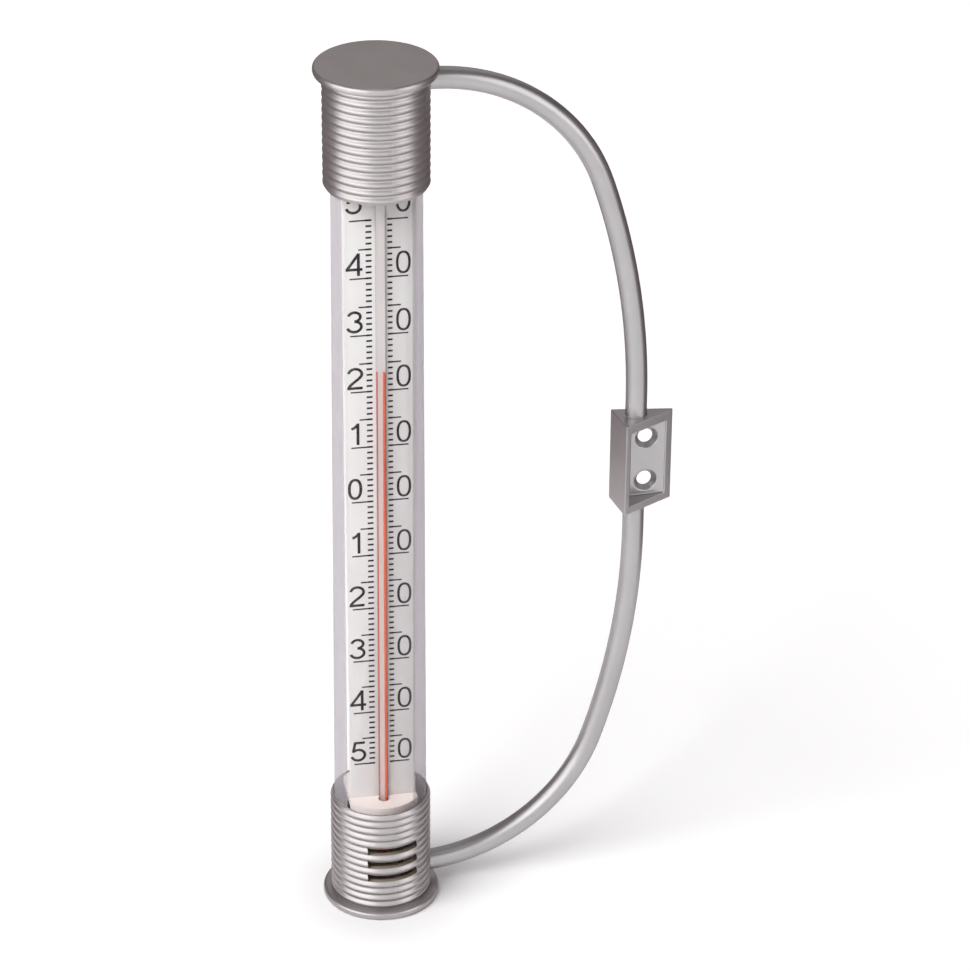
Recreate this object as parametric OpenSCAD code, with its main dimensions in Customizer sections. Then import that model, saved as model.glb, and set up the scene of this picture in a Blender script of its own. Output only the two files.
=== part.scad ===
// Outdoor thermometer on a bow with a screw bracket.
// A clear tube with a scale plate and a glass spirit thermometer stands between two ribbed
// end caps. One moulded bow joins the caps and carries the wedge-shaped wall bracket.
// +Z runs up the tube. The origin is on the tube's axis, under the foot. The front faces -Y,
// the bow reaches out towards +X and its bracket lies against a wall behind it, at +Y.

/* [Overall] */
// Height from the foot to the top face
overall_h = 235; // [215:1:280]
// Diameter of the flange that ends each cap
flange_d = 30.2; // [28.5:0.1:36]
// Thickness of that flange
flange_t = 2.2; // [1.8:0.1:2.6]
// Radius of the flange's rounded edge
flange_round = 0.9; // [0.3:0.1:1]

/* [Caps] */
// Diameter over the ribs
cap_d = 26; // [25.8:0.1:28]
// Length of each cap, flange included
cap_h = 31; // [28:0.5:36]
// Number of ribs round each cap
rib_count = 14; // [8:1:18]
// Height of a rib over the groove beside it
rib_depth = 0.5; // [0.2:0.05:0.55]
// Wall of a cap's hollow end, from its grooves inwards
cap_wall = 1.5; // [0.8:0.1:2]
// How deep the tube sits in each cap
tube_seat = 8.4; // [6:0.2:9.4]

/* [Air slots] */
// Width of the air slots in the front of the lower cap
slot_w = 13.2; // [8:0.2:18]
// Number of air slots
slot_count = 3; // [1:1:4]
// The first slot takes the place of this rib, counted from the foot
slot_first_rib = 5; // [5:1:6]

/* [Tube] */
// Outer diameter of the tube at its lower end
tube_d_low = 23.94; // [23.6:0.02:24]
// Outer diameter of the tube at its upper end, smaller by the moulding draft
tube_d_high = 22.26; // [22.2:0.02:23.4]
// Wall of the tube
tube_wall = 1.2; // [0.8:0.1:1.2]
// Turning clearance round the tube in a cap
turn_clearance = 0.06; // [0.03:0.01:0.1]
// Gap between each end of the tube and the step that stops it
end_clearance = 0.15; // [0.1:0.05:0.3]
// How far the scale stands turned away from the front, clockwise from above
scale_turn = 4.9; // [-30:0.1:30]

/* [Scale plate] */
// Width of the plate at its lower end
plate_w_low = 17; // [14:0.1:17.6]
// Width of the plate at its upper end
plate_w_high = 17.8; // [14:0.1:17.8]
// Thickness of the plate
plate_t = 1.2; // [0.8:0.1:1.6]
// Front face of the plate, in front of the tube's axis
plate_forward = 4.2; // [3:0.1:4.3]
// Radius of the plate's corners
plate_corner = 1; // [0.4:0.1:2]

/* [Holders] */
// Thickness of the discs that hold the plate and the glass in the tube
holder_t = 2; // [1.6:0.1:2.4]
// Width of the discs between their flat sides
holder_w = 17.5; // [15:0.1:18]
// Top face of the lower holder, over the mouth of the lower cap
holder_rise = 1; // [0.4:0.1:3]
// Top face of the upper holder, over the mouth of the upper cap
holder_hide = 4.4; // [3.2:0.1:6]
// Depth of the grooves for the plate's ends
groove_depth = 0.8; // [0.4:0.1:1]
// Gap round what a holder grips, and between a holder and the tube
grip_clearance = 0.05; // [0.03:0.01:0.1]

/* [Glass thermometer] */
// Diameter of the glass stem
stem_d = 2.8; // [2.4:0.1:3.4]
// Gap between the stem and the plate
stem_gap = 0.15; // [0.05:0.05:0.4]
// Diameter of the bore that the spirit climbs in
bore_d = 0.9; // [0.6:0.05:1.2]
// Clearance of the spirit in the bore
spirit_clearance = 0.04; // [0.02:0.01:0.1]
// Diameter of the bulb
bulb_d = 5.4; // [4.6:0.1:6]
// Length of the bulb
bulb_h = 14.5; // [10:0.5:15]
// Gap between the bulb's shoulder and the lower holder
bulb_drop = 0.6; // [0.3:0.1:1]
// Wall of the bulb
bulb_wall = 0.6; // [0.4:0.1:0.9]

/* [Scale] */
// Height of the zero mark over the foot
zero_h = 119.3; // [110:0.1:125]
// Height of one degree on the scale
degree_h = 1.543; // [1.3:0.001:1.55]
// Temperature that the column shows
reading = 24; // [-40:1:45]

/* [Bow] */
// Diameter of the bow's rod
rod_d = 5.46; // [4.6:0.02:5.6]
// Axis of the rod at the upper cap, below the top face
rod_drop = 4.95; // [4.9:0.05:9]
// Axis of the rod at the lower cap, over the foot
rod_rise = 7.05; // [5:0.05:8]
// Distance from the tube's axis to the start of each bend
bend_start = 11.9; // [11:0.1:20]
// Radius of each bend
bend_r = 47.4; // [38:0.1:54]
// Angle that each bend turns through
bend_angle = 71.2; // [60:0.1:80]
// Half of the straight stretch that carries the bracket
straight_half = 19; // [15:0.5:24]
// How far the rod's ends lie inside the caps, measured from the tube's axis
rod_end = 6.6; // [6:0.1:8]
// Wall of the socket round a rod's end
socket_wall = 1.1; // [0.8:0.1:1.4]
// Clearance round a rod's end in its socket
socket_clearance = 0.04; // [0.02:0.01:0.1]

/* [Bracket] */
// Height of the bracket
bracket_h = 25.4; // [22:0.2:27]
// Middle of the bracket over the middle of the bow
bracket_shift = 1.4; // [-2:0.05:2]
// Width of the bracket, in line with the bow
bracket_w = 15.2; // [13:0.1:20]
// Edge of the bracket nearest to the tube, from the rod's axis
bracket_inner = 5.4; // [4.2:0.1:7]
// Angle between the bow and the face that lies against the wall
wall_angle = 12.2; // [6:0.1:16]
// Wall face of the bracket, behind the rod's axis
wall_offset = 2.9; // [2.85:0.05:4]
// Front ridge of the bracket, in front of the rod's axis
ridge_forward = 6.5; // [6:0.1:9]
// Draft of the face between the ridge and the wall
ridge_inset = 1.05; // [0:0.05:2]
// Thickness of the bracket's outer edge
tip_t = 0.6; // [0.4:0.1:2]
// Radius of the bracket's front ridge
ridge_round = 0.9; // [0.3:0.1:1.4]
// Floor of the pocket for the screw heads, in front of the rod's axis
pocket_floor = 0.35; // [0.1:0.05:1]
// Side wall of the pocket, on the tube's side of the rod's axis
pocket_side = 2.85; // [0.5:0.05:3]
// Height of the pocket
pocket_h = 20.2; // [18:0.2:21]
// Rim below the pocket
pocket_rim = 2.2; // [1.2:0.1:3]
// Diameter of the screw holes
screw_d = 3.8; // [3:0.1:4.4]
// Diameter of their countersinks
countersink_d = 6.1; // [5:0.1:6.6]
// Depth of the countersinks
sink_depth = 1.4; // [1:0.1:1.6]
// Length of the straight hole under a countersink
screw_land = 0.3; // [0.2:0.1:0.5]
// Diameter of the relief that opens each hole towards the wall
relief_d = 5.6; // [5:0.1:7]
// Distance between the screw holes
screw_spacing = 12.2; // [9:0.1:12.6]
// Line of the screw holes, outside the rod's axis
screw_out = 2.9; // [2.4:0.1:4]

/* [Hidden] */
$fn = 96;
// Points on each rib, rounded edge and dome
ARC_STEPS = 6;
// Cuts run past the faces that they open by this much
CUT = 1;
// Step between neighbouring stretches of the rod, and how far they overlap, as an angle and a length
HAIR = 0.02;
LAP = 0.4;
OVERLAP = 0.4;

silver = [0.72, 0.70, 0.72];
rib_pitch = (cap_h - flange_t) / rib_count;
groove_r = cap_d / 2 - rib_depth;
hollow_r = groove_r - cap_wall;
low_mouth_z = cap_h;
high_mouth_z = overall_h - cap_h;

// The tube, from step to step
tube_z0 = cap_h - tube_seat;
tube_z1 = overall_h - cap_h + tube_seat;
tube_low_r = tube_d_low / 2;
tube_high_r = tube_d_high / 2;
function tube_r(z) = tube_low_r + (tube_high_r - tube_low_r) * (z - tube_z0) / (tube_z1 - tube_z0);
function tube_inner_r(z) = tube_r(z) - tube_wall;

// The holders, the plate and the glass in the tube
lower_holder_z = low_mouth_z + holder_rise - holder_t;
upper_holder_z = high_mouth_z + holder_hide - holder_t;
plate_z0 = lower_holder_z + holder_t - groove_depth;
plate_z1 = upper_holder_z + groove_depth;
stem_r = stem_d / 2;
stem_forward = plate_forward + stem_gap + stem_r;
stem_top_z = upper_holder_z + holder_t + 1;
bulb_r = bulb_d / 2;
bulb_top_z = lower_holder_z - bulb_drop;
bulb_z0 = bulb_top_z - bulb_h;
shoulder_h = bulb_r - stem_r;
cavity_r = bulb_r - bulb_wall;
cavity_top_z = bulb_top_z - shoulder_h - bulb_wall;
bore_r = bore_d / 2;
bore_top_z = upper_holder_z + holder_t;
spirit_r = bore_r - spirit_clearance;

// The spirit's column starts at the top of the bulb's fill
column_z0 = bulb_top_z;
column_top_z = zero_h + reading * degree_h;

// The bow, one half of it mirrored about its middle
rod_r = rod_d / 2;
bow_half = (overall_h - rod_drop - rod_rise) / 2;
bow_mid_z = rod_rise + bow_half;
side_r = (bow_half - bend_r * (1 - cos(bend_angle)) - straight_half) / cos(bend_angle);
bow_reach = bend_start + bend_r * sin(bend_angle) + side_r * (1 - sin(bend_angle));
socket_r = rod_r + socket_clearance;

// The bracket, seen from above, with the rod's axis at its origin
bracket_z0 = bow_mid_z + bracket_shift - bracket_h / 2;
function wall_y(x) = wall_offset / cos(wall_angle) - x * tan(wall_angle);
bracket_outer = bracket_w - bracket_inner;
ridge = [-bracket_inner + ridge_inset, -ridge_forward];
inner_corner = [-bracket_inner, wall_y(-bracket_inner)];
outer_corner = [bracket_outer, wall_y(bracket_outer)];
tip_corner = outer_corner - [0, tip_t];
pocket_z0 = bracket_z0 + pocket_rim;
screw_mid_z = pocket_z0 + pocket_h / 2;

function unit(v) = v / norm(v);
// Points of a rounded corner at p, between its neighbours a and b
function round_corner(p, a, b, r, steps) =
    let (u = unit(a - p), w = unit(b - p), half = acos(u * w) / 2,
         c = p + unit(u + w) * r / sin(half),
         s = (p + u * r / tan(half) - c) / r, e = (p + w * r / tan(half) - c) / r,
         total = acos(s * e))
    [for (i = [0:steps]) let (t = i / steps)
        c + r * (s * sin((1 - t) * total) + e * sin(t * total)) / sin(total)];
// Outline with every corner rounded by its own radius
function rounded(points, radii, steps) =
    let (n = len(points))
    [for (i = [0:n - 1])
        each round_corner(points[i], points[(i + n - 1) % n], points[(i + 1) % n], radii[i], steps)];

// Side of the ribs, from the flange to the mouth: half an ellipse for each rib
function rib_side() = [for (k = [0:rib_count - 1]) for (i = [k == 0 ? 0 : 1:ARC_STEPS])
    [groove_r + rib_depth * sin(180 * i / ARC_STEPS),
     flange_t + rib_pitch * (k + (1 - cos(180 * i / ARC_STEPS)) / 2)]];

// One cap with its flange at z = 0 and its mouth upwards, for a tube of this radius at the mouth.
// The rod's socket lies towards +X at the height socket_z.
module cap(seat_r, socket_z) {
    flange_r = flange_d / 2;
    bore = seat_r + turn_clearance;
    outer = concat(
        round_corner([flange_r, 0], [0, 0], [flange_r, flange_t], flange_round, ARC_STEPS),
        round_corner([flange_r, flange_t], [flange_r, 0], [0, flange_t], flange_round, ARC_STEPS),
        rib_side());
    inner = [[bore, cap_h], [bore, cap_h - tube_seat - end_clearance],
             [hollow_r, cap_h - tube_seat - end_clearance], [hollow_r, flange_t], [0, flange_t]];
    difference() {
        union() {
            rotate_extrude() polygon(concat([[0, 0]], outer, inner));
            socket_boss(socket_z);
        }
        translate([rod_end - end_clearance, 0, socket_z]) rotate([0, 90, 0])
            cylinder(r = socket_r, h = cap_d);
    }
}

// Solid boss inside a cap, round the rod's end
module socket_boss(socket_z) {
    intersection() {
        translate([rod_end - end_clearance - socket_wall, 0, socket_z]) rotate([0, 90, 0])
            cylinder(r = socket_r + socket_wall, h = cap_d);
        translate([0, 0, flange_t / 2]) cylinder(r = (hollow_r + groove_r) / 2, h = cap_h);
    }
}

module bottom_cap() color(silver) {
    difference() {
        cap(tube_low_r, rod_rise);
        for (k = [0:slot_count - 1])
            translate([-slot_w / 2, -cap_d, flange_t + rib_pitch * (slot_first_rib - 1 + 2 * k)])
                cube([slot_w, cap_d, rib_pitch]);
    }
}

module top_cap() color(silver)
    translate([0, 0, overall_h]) mirror([0, 0, 1]) cap(tube_r(high_mouth_z), rod_drop);

module clear_tube() color([0.86, 0.88, 0.92, 0.35])
    translate([0, 0, tube_z0]) difference() {
        cylinder(r1 = tube_low_r, r2 = tube_high_r, h = tube_z1 - tube_z0);
        translate([0, 0, -CUT]) cylinder(r1 = tube_inner_r(tube_z0 - CUT),
            r2 = tube_inner_r(tube_z1 + CUT), h = tube_z1 - tube_z0 + 2 * CUT);
    }

// Everything in the tube shares its turned position
module turned() rotate([0, 0, -scale_turn]) children();

module scale_plate() color([0.93, 0.92, 0.90]) turned()
    translate([0, plate_t - plate_forward, 0]) rotate([90, 0, 0]) linear_extrude(plate_t)
        polygon(rounded([[-plate_w_low / 2, plate_z0], [plate_w_low / 2, plate_z0],
                         [plate_w_high / 2, plate_z1], [-plate_w_high / 2, plate_z1]],
                        [plate_corner, plate_corner, plate_corner, plate_corner], ARC_STEPS));

// Quarter round from the axis out to the side, at the end of a round rod or cavity
function dome(r, z, up) = [for (i = [0:ARC_STEPS]) let (t = 90 * i / ARC_STEPS)
    [r * sin(t), z + up * r * (1 - cos(t))]];
function reversed(v) = [for (i = [len(v) - 1:-1:0]) v[i]];

// The bulb's hollow, filled with spirit right up to the start of the column
function cavity_profile(r, z0, z1) = concat(dome(r, z0, 1), [[r, z1], [bore_r, z1 + r - bore_r]]);

module glass_stem() color([0.85, 0.88, 0.9, 0.4]) turned() translate([0, -stem_forward, 0])
    difference() {
        rotate_extrude($fn = 48) polygon(concat(dome(bulb_r, bulb_z0, 1),
            [[bulb_r, bulb_top_z - shoulder_h], [stem_r, bulb_top_z]],
            reversed(dome(stem_r, stem_top_z, -1))));
        rotate_extrude($fn = 48) polygon(concat(
            cavity_profile(cavity_r, bulb_z0 + bulb_wall, cavity_top_z),
            [[bore_r, bore_top_z], [0, bore_top_z]]));
    }

module bulb_liquid() color([0.72, 0.16, 0.12]) turned() translate([0, -stem_forward, 0])
    rotate_extrude($fn = 48) offset_fill(spirit_clearance);

// Half section of the bulb's fill, smaller than the hollow by the clearance
module offset_fill(gap) {
    fill_r = cavity_r - gap;
    polygon(concat(dome(fill_r, bulb_z0 + bulb_wall + gap, 1),
        [[fill_r, cavity_top_z], [spirit_r, cavity_top_z + cavity_r - bore_r],
         [spirit_r, column_z0], [0, column_z0]]));
}

module liquid_column() color([0.78, 0.18, 0.10]) turned()
    translate([0, -stem_forward, column_z0])
        cylinder(r = spirit_r, h = column_top_z - column_z0, $fn = 32);

// A disc in the tube with two flat sides, a hole for the stem and a groove right across for one
// end of the plate
module holder(z, groove_z) turned() difference() {
    intersection() {
        translate([0, 0, z]) cylinder(r1 = tube_inner_r(z) - grip_clearance,
            r2 = tube_inner_r(z + holder_t) - grip_clearance, h = holder_t);
        translate([-holder_w / 2, -tube_low_r, z - CUT])
            cube([holder_w, 2 * tube_low_r, holder_t + 2 * CUT]);
    }
    translate([0, -stem_forward, z - CUT])
        cylinder(r = stem_r + grip_clearance, h = holder_t + 2 * CUT, $fn = 48);
    translate([-tube_low_r, -plate_forward - grip_clearance, groove_z])
        cube([2 * tube_low_r, plate_t + 2 * grip_clearance, holder_t]);
}

module lower_holder() color([0.90, 0.88, 0.86]) holder(lower_holder_z, plate_z0 - grip_clearance);

module upper_holder() color([0.90, 0.88, 0.86])
    holder(upper_holder_z, plate_z1 + grip_clearance - holder_t);

// One bend of the rod about the origin, from angle a0 to a1 over the X axis
module bend(radius, r, a0, a1) rotate([90, 0, 0]) rotate([0, 0, a0])
    rotate_extrude(angle = a1 - a0) translate([radius, 0]) circle(r = r);

// Upper half of the bow, from its middle to the end in the cap, in the plane of X and Z.
// Every other stretch is slimmer by a hair and runs a little way into its neighbours.
module half_bow() {
    slim_r = rod_r - HAIR;
    cylinder(r = rod_r, h = straight_half);
    translate([-side_r, 0, straight_half])
        bend(side_r, slim_r, -LAP, 90 - bend_angle + LAP);
    translate([bend_start - bow_reach, 0, bow_half - bend_r])
        bend(bend_r, rod_r, 90 - bend_angle, 90);
    translate([rod_end - bow_reach, 0, bow_half]) rotate([0, 90, 0])
        cylinder(r = slim_r, h = bend_start - rod_end + OVERLAP);
}

// Wedge of the bracket without its pocket and holes
module wedge() linear_extrude(bracket_h)
    polygon(rounded([inner_corner, outer_corner, tip_corner, ridge],
                    [ridge_round / 3, tip_t / 3, tip_t / 3, ridge_round], ARC_STEPS));

// Screw hole through the pocket's floor, its head sunk flush and its far end relieved
module screw_hole() translate([screw_out, -pocket_floor, 0]) rotate([-90, 0, 0]) {
    cylinder(r1 = countersink_d / 2, r2 = screw_d / 2, h = sink_depth);
    cylinder(r = screw_d / 2, h = bracket_w);
    translate([0, 0, sink_depth + screw_land]) cylinder(r = relief_d / 2, h = bracket_w);
}

module bow_bracket() color(silver) translate([bow_reach, 0, bow_mid_z]) difference() {
    union() {
        difference() {
            union() {
                half_bow();
                mirror([0, 0, 1]) half_bow();
            }
            translate([-rod_d, -rod_d, bracket_z0 - bow_mid_z + pocket_rim / 2])
                cube([2 * rod_d, 2 * rod_d, bracket_h - pocket_rim]);
        }
        translate([0, 0, bracket_z0 - bow_mid_z]) wedge();
    }
    translate([-pocket_side, -ridge_forward - CUT, pocket_z0 - bow_mid_z])
        cube([bracket_w, ridge_forward + CUT - pocket_floor, pocket_h]);
    for (side = [-1, 1])
        translate([0, 0, screw_mid_z - bow_mid_z + side * screw_spacing / 2]) screw_hole();
}

bottom_cap();
top_cap();
bow_bracket();
clear_tube();
scale_plate();
glass_stem();
bulb_liquid();
liquid_column();
lower_holder();
upper_holder();
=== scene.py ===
# %% [markdown]
# # An outdoor thermometer, dressed around a fixed frame
# The object is a clear tube with a scale and a spirit thermometer in it, closed by two ribbed caps.
# A moulded bow joins the caps and carries a bracket for two screws. Each piece here is built round
# them, in metres, in the same place, and moves with the same bodies.

# %% Load the frame
import math

import bpy
from mathutils import Matrix, Vector


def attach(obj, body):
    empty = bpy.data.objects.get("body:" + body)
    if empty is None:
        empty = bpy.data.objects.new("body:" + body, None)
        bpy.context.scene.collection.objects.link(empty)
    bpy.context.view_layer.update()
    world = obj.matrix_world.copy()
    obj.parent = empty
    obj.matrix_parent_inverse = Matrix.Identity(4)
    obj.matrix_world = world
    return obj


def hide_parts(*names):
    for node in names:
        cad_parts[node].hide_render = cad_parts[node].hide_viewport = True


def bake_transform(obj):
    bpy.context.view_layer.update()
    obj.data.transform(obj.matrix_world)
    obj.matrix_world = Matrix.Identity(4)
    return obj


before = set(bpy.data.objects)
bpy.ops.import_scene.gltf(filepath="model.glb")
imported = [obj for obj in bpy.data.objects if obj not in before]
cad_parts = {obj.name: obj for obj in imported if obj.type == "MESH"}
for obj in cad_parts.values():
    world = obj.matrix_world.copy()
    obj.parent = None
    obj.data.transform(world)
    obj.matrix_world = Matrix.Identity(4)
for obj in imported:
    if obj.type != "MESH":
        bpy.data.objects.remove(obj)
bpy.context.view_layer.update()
MM = 0.001

# %% [markdown]
# ## Camera
# The camera's place was solved from the ellipses of the caps, the scale's marks and the bow.
# It could be aimed with a Track To constraint, but the photograph's small roll would be lost.
# So its three axes are worked out from heading, tilt and roll, and written into one matrix.

# %% Set up the camera
CAMERA_PLACE = Vector((-212.77, -871.70, 618.62)) * MM
HEADING = math.radians(15.412)  # from +Y towards +X
TILT = math.radians(28.996)  # below the horizon
ROLL = math.radians(0.4577)
FOCAL_PIXELS = 4114.8
PICTURE_WIDTH = 970
SENSOR_WIDTH = 36.0
NEAREST, FARTHEST = 0.05, 50  # metres that the camera sees


def camera_matrix():
    """Turns heading, tilt and roll into the camera's axes at its place."""
    ahead = Vector((math.sin(HEADING) * math.cos(TILT), math.cos(HEADING) * math.cos(TILT), -math.sin(TILT)))
    level = Vector((math.cos(HEADING), -math.sin(HEADING), 0))
    upward = level.cross(ahead)
    right = math.cos(ROLL) * level + math.sin(ROLL) * upward
    up = -math.sin(ROLL) * level + math.cos(ROLL) * upward
    turned = Matrix((right, up, -ahead)).transposed().to_4x4()
    return Matrix.Translation(CAMERA_PLACE) @ turned


camera_data = bpy.data.cameras.new("camera")
camera_data.sensor_fit = "HORIZONTAL"
camera_data.sensor_width = SENSOR_WIDTH
camera_data.lens = FOCAL_PIXELS * SENSOR_WIDTH / PICTURE_WIDTH
camera_data.clip_start = NEAREST
camera_data.clip_end = FARTHEST
camera = bpy.data.objects.new("camera", camera_data)
camera.matrix_world = camera_matrix()
bpy.context.scene.collection.objects.link(camera)
bpy.context.scene.camera = camera
print("Lens:", round(camera_data.lens, 2), "mm")

# %% [markdown]
# ## Building helpers
# Nearly every piece here is turned on a lathe or drawn out along a path, so two builders do most
# of the work. Both write plain vertices and faces, because then every radius is known exactly.

# %% Make a mesh object from points in millimetres
SMOOTH_ANGLE = math.radians(38)
ROD_ANGLE, FILM_ANGLE = math.radians(60), math.radians(30)  # for slim rods, and for flat films
SLACK = 0.02  # millimetres, for comparing places


def make_piece(name, points, faces, material, smooth_angle=SMOOTH_ANGLE):
    """A mesh object from points in millimetres. Edges sharper than smooth_angle stay crisp."""
    mesh = bpy.data.meshes.new(name)
    mesh.from_pydata([[c * MM for c in p] for p in points], [], faces)
    mesh.validate()
    mesh.materials.append(material)
    mesh.shade_smooth()
    mesh.set_sharp_from_angle(angle=smooth_angle)
    piece = bpy.data.objects.new(name, mesh)
    bpy.context.scene.collection.objects.link(piece)
    return piece


def even_angles(count):
    """Angles all the way round, in degrees."""
    return [360 * i / count for i in range(count)]


def turn(profile, angles, swell=None, centre=(0, 0)):
    """Points and faces of a profile of (radius, height) pairs turned about the Z axis.

    A radius of 0 becomes one point. swell(angle, radius, height) adds to the radius.
    """
    points, rings = [], []
    for radius, height in profile:
        if radius == 0:
            rings.append([len(points)] * len(angles))
            points.append((centre[0], centre[1], height))
            continue
        rings.append(list(range(len(points), len(points) + len(angles))))
        for angle in angles:
            r = radius + (swell(angle, radius, height) if swell else 0)
            a = math.radians(angle)
            points.append((centre[0] + r * math.cos(a), centre[1] + r * math.sin(a), height))
    faces = []
    for low, high in zip(rings, rings[1:]):
        for i in range(len(angles)):
            j = (i + 1) % len(angles)
            corners = [low[i], low[j], high[j], high[i]]
            corners = [c for k, c in enumerate(corners) if c not in corners[:k]]
            if len(corners) > 2:
                faces.append(corners)
    return points, faces


def arc(centre, radii, start, end, steps):
    """Points of an elliptic arc in a plane, between two angles in degrees."""
    found = []
    for i in range(steps + 1):
        a = math.radians(start + (end - start) * i / steps)
        found.append((centre[0] + radii[0] * math.cos(a), centre[1] + radii[1] * math.sin(a)))
    return found


def skin(count, rings):
    """Faces of a closed skin over rings of count points each, one ring after the other."""
    faces, last = [], (rings - 1) * count
    for start in range(0, last, count):
        for i in range(count):
            j = (i + 1) % count
            faces.append([start + i, start + j, start + count + j, start + count + i])
    return faces + [list(range(count))[::-1], list(range(last, last + count))]


# %% [markdown]
# ## Node helper
# A finish needs colour, roughness and a little relief that all vary. Writing each node out takes
# many lines, so a small class adds them and keeps the links readable.

# %% A short way to write node trees
NOISE_LOW, NOISE_HIGH = 0.3, 0.7  # a noise seldom goes below or above


class Finish:
    """A material, its main shader, and short ways to add the nodes that a finish needs."""

    def __init__(self, name):
        self.material = bpy.data.materials.new(name)
        self.material.use_nodes = True
        self.tree = self.material.node_tree
        self.shader = self.tree.nodes["Principled BSDF"]
        self.output = self.tree.nodes["Material Output"]
        self.place = self.node("ShaderNodeTexCoord").outputs["Object"]

    def plug(self, socket, value):
        """Links another node's output to a socket, or sets the socket's own number or colour."""
        if isinstance(value, bpy.types.NodeSocket):
            self.tree.links.new(value, socket)
        else:
            socket.default_value = value

    def node(self, kind, settings=None, **inputs):
        """Adds a node, with its settings and whatever its named inputs take."""
        made = self.tree.nodes.new(kind)
        for key, value in (settings or {}).items():
            setattr(made, key, value)
        for key, value in inputs.items():
            self.plug(made.inputs[key.replace("_", " ")], value)
        return made

    def maths(self, operation, first, second):
        """The result of an operation on two numbers or links."""
        made = self.node("ShaderNodeMath", {"operation": operation})
        self.plug(made.inputs[0], first)
        self.plug(made.inputs[1], second)
        return made.outputs[0]

    def over(self, share, below, above):
        """A shader that shows below, with a share of above."""
        made = self.node("ShaderNodeMixShader", Fac=share)
        self.plug(made.inputs[1], below.outputs[0])
        self.plug(made.inputs[2], above.outputs[0])
        return made

    def surface(self, shader):
        """Makes a shader the surface of the material."""
        self.plug(self.output.inputs["Surface"], shader.outputs[0])
        return self.material

    def noise(self, size_mm, detail=2.0, stretch=None):
        """Noise whose blobs are about size_mm across."""
        place = self.place
        if stretch:
            place = self.node("ShaderNodeMapping", Vector=place, Scale=stretch).outputs[0]
        cells = 1 / (size_mm * MM)
        return self.node("ShaderNodeTexNoise", Vector=place, Scale=cells, Detail=detail).outputs["Fac"]

    def blend(self, amount, low, high):
        """A colour between low and high."""
        ramp = self.node("ShaderNodeValToRGB", Fac=amount)
        set_stops(ramp.color_ramp, ((NOISE_LOW, low), (NOISE_HIGH, high)))
        return ramp.outputs["Color"]

    def span(self, amount, low, high, start=NOISE_LOW, end=NOISE_HIGH):
        """A number that goes from low to high while amount goes from start to end."""
        ends = {"From_Min": start, "From_Max": end, "To_Min": low, "To_Max": high}
        return self.node("ShaderNodeMapRange", Value=amount, **ends).outputs[0]

    def relief(self, height, strength, depth_mm, under=None):
        """A bump whose full height is depth_mm, over another bump if given."""
        bump = self.node("ShaderNodeBump", Height=height, Strength=strength, Distance=depth_mm * MM)
        if under:
            self.tree.links.new(under, bump.inputs["Normal"])
        return bump.outputs["Normal"]

    def use(self, **sockets):
        """Sets the main shader's own sockets, by number, colour or link."""
        for key, value in sockets.items():
            self.plug(self.shader.inputs[key.replace("_", " ")], value)
        return self.material


def set_stops(ramp, stops):
    """Gives a colour ramp its stops, each a place and a colour."""
    for _ in stops[2:]:
        ramp.elements.new(0.5)
    for element, (at, colour) in zip(ramp.elements, stops):
        element.position = at
        element.color = (*colour, 1)


# %% [markdown]
# ## Silver paint
# The caps and the bow look like plastic moulded with aluminium flake: bright where it faces the
# light, darker at a glancing angle, and never quite even. A picture of it would need unwrapping
# and would blur up close, so nodes make it. A metal shader of middling roughness gives the broad
# soft shine. Cells smaller than a millimetre are the flakes, slow noise clouds the colour, and
# shallow relief ripples the gloss.

# %% Silver paint
CLOUD_SIZE, GRAIN_SIZE, FLAKE_SIZE, RIPPLE_SIZE = 9, 0.5, 0.28, 1.6  # millimetres


def silver_paint(name, dull, bright, roughness):
    """Moulded metallic plastic, clouded between two greys."""
    finish = Finish(name)
    cells = 1 / (FLAKE_SIZE * MM)
    flakes = finish.node("ShaderNodeTexVoronoi", Vector=finish.place, Scale=cells).outputs["Color"]
    speck = finish.node("ShaderNodeSeparateColor", Color=flakes).outputs[0]
    mottle = finish.node("ShaderNodeMix", {"data_type": "FLOAT"}, Factor=0.1)
    finish.plug(mottle.inputs[2], finish.noise(CLOUD_SIZE, 3))
    finish.plug(mottle.inputs[3], speck)
    grain = finish.noise(GRAIN_SIZE, 4)
    ripple = finish.relief(finish.noise(RIPPLE_SIZE, 2), 0.08, 0.012)
    return finish.use(
        Base_Color=finish.blend(mottle.outputs[0], dull, bright),
        Metallic=0.88,
        Roughness=finish.span(grain, roughness - 0.03, roughness + 0.03),
        Normal=finish.relief(speck, 0.012, 0.006, ripple),
        Coat_Weight=0.1,
        Coat_Roughness=0.25,
        Specular_Tint=(0.72, 0.62, 0.62, 1),
    )


CAP_PAINT = silver_paint("cap_paint", (0.41, 0.39, 0.39), (0.455, 0.43, 0.43), 0.36)
BOW_PAINT = silver_paint("bow_paint", (0.415, 0.405, 0.412), (0.45, 0.44, 0.447), 0.34)
print("Silver finishes:", CAP_PAINT.name, BOW_PAINT.name)

# %% [markdown]
# ## Clear plastic and glass
# A Glass shader bends light truly, but it also stops the lamps from reaching the scale.
# A Transparent shader lets them in. Its tint deepens where the wall is seen edge-on, because the
# light then crosses more plastic, and a Fresnel share of gloss lies over it. The tube's outside
# also takes a pale haze there, which stands in for the bent view through a thick edge.
# Light Path keeps tint and haze off the shadow rays, so that the lamps light the scale evenly.

# %% Clear tube and glass
HAZE_COLOUR = (0.74, 0.715, 0.75, 1)
CLEAR_INDEX = 1.46  # how strongly clear plastic and glass mirror at a glancing angle
TURN_WIDTH = 0.03


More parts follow.
